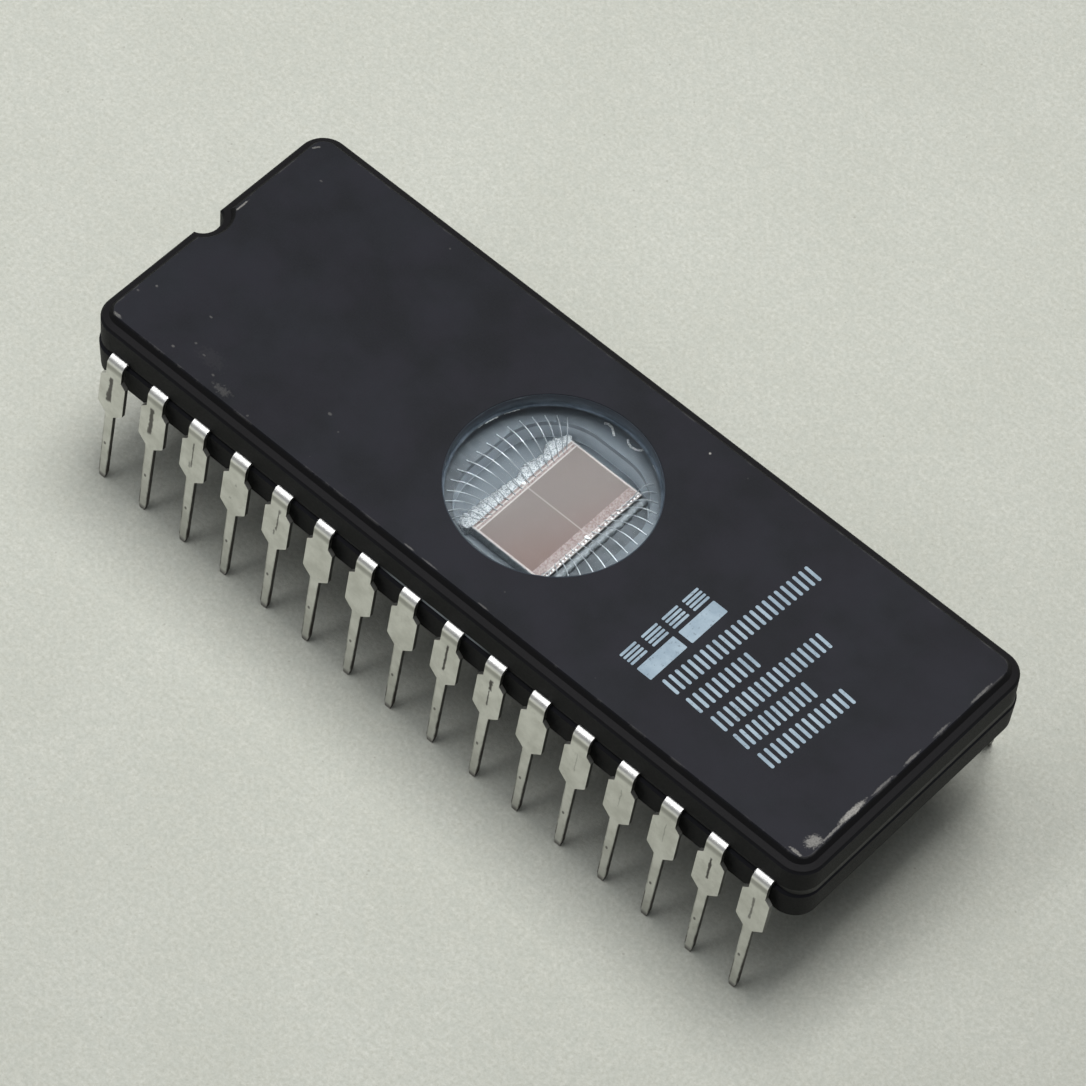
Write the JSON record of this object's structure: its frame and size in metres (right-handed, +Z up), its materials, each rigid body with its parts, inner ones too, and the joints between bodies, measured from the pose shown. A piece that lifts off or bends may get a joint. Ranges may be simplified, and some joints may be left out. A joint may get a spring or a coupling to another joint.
{
  "type": "windowed ceramic dual in-line memory chip",
  "caption": "Ceramic dual in-line memory chip with a round glass erase window in its top, an end notch and two rows of bent, tin-plated through-hole leads.",
  "frame": {"origin": "middle of the plane of the lead tips, halfway between the rows and halfway along the body", "axes": "+X runs along the body away from the index notch, +Y towards the far row of leads (the row of the last-numbered leads), +Z up through the window"},
  "size_m": [0.0422, 0.0174, 0.0095],
  "materials": {
    "dark_ceramic": "matt, pressed and fired alumina",
    "tin_plate": "satin tin over iron-nickel alloy",
    "seal_glass": "opaque grey solder glass",
    "window_glass": "polished, clear to ultraviolet light",
    "silicon": "polished, pinkish grey from its oxide layers",
    "silver_glass": "rough, bright where it wets the chip",
    "bond_wire": "drawn, bright",
    "cavity_metal": "dull fired metal film"
  },
  "bodies": {
    "root": {"ceramic_base": "dark_ceramic", "ceramic_cap": "dark_ceramic", "window_lens": "window_glass", "seal_glass": "seal_glass", "cavity_film": "cavity_metal", "die_attach": "silver_glass", "die": "silicon", "bond_wires_notch_end": "bond_wire", "bond_wires_plain_end": "bond_wire", "lead_01": "tin_plate", "lead_02": "tin_plate", "lead_03": "tin_plate", "lead_04": "tin_plate", "lead_05": "tin_plate", "lead_06": "tin_plate", "lead_07": "tin_plate", "lead_08": "tin_plate", "lead_09": "tin_plate", "lead_10": "tin_plate", "lead_11": "tin_plate", "lead_12": "tin_plate", "lead_13": "tin_plate", "lead_14": "tin_plate", "lead_15": "tin_plate", "lead_16": "tin_plate", "lead_17": "tin_plate", "lead_18": "tin_plate", "lead_19": "tin_plate", "lead_20": "tin_plate", "lead_21": "tin_plate", "lead_22": "tin_plate", "lead_23": "tin_plate", "lead_24": "tin_plate", "lead_25": "tin_plate", "lead_26": "tin_plate", "lead_27": "tin_plate", "lead_28": "tin_plate", "lead_29": "tin_plate", "lead_30": "tin_plate", "lead_31": "tin_plate", "lead_32": "tin_plate"}
  },
  "joints": []
}
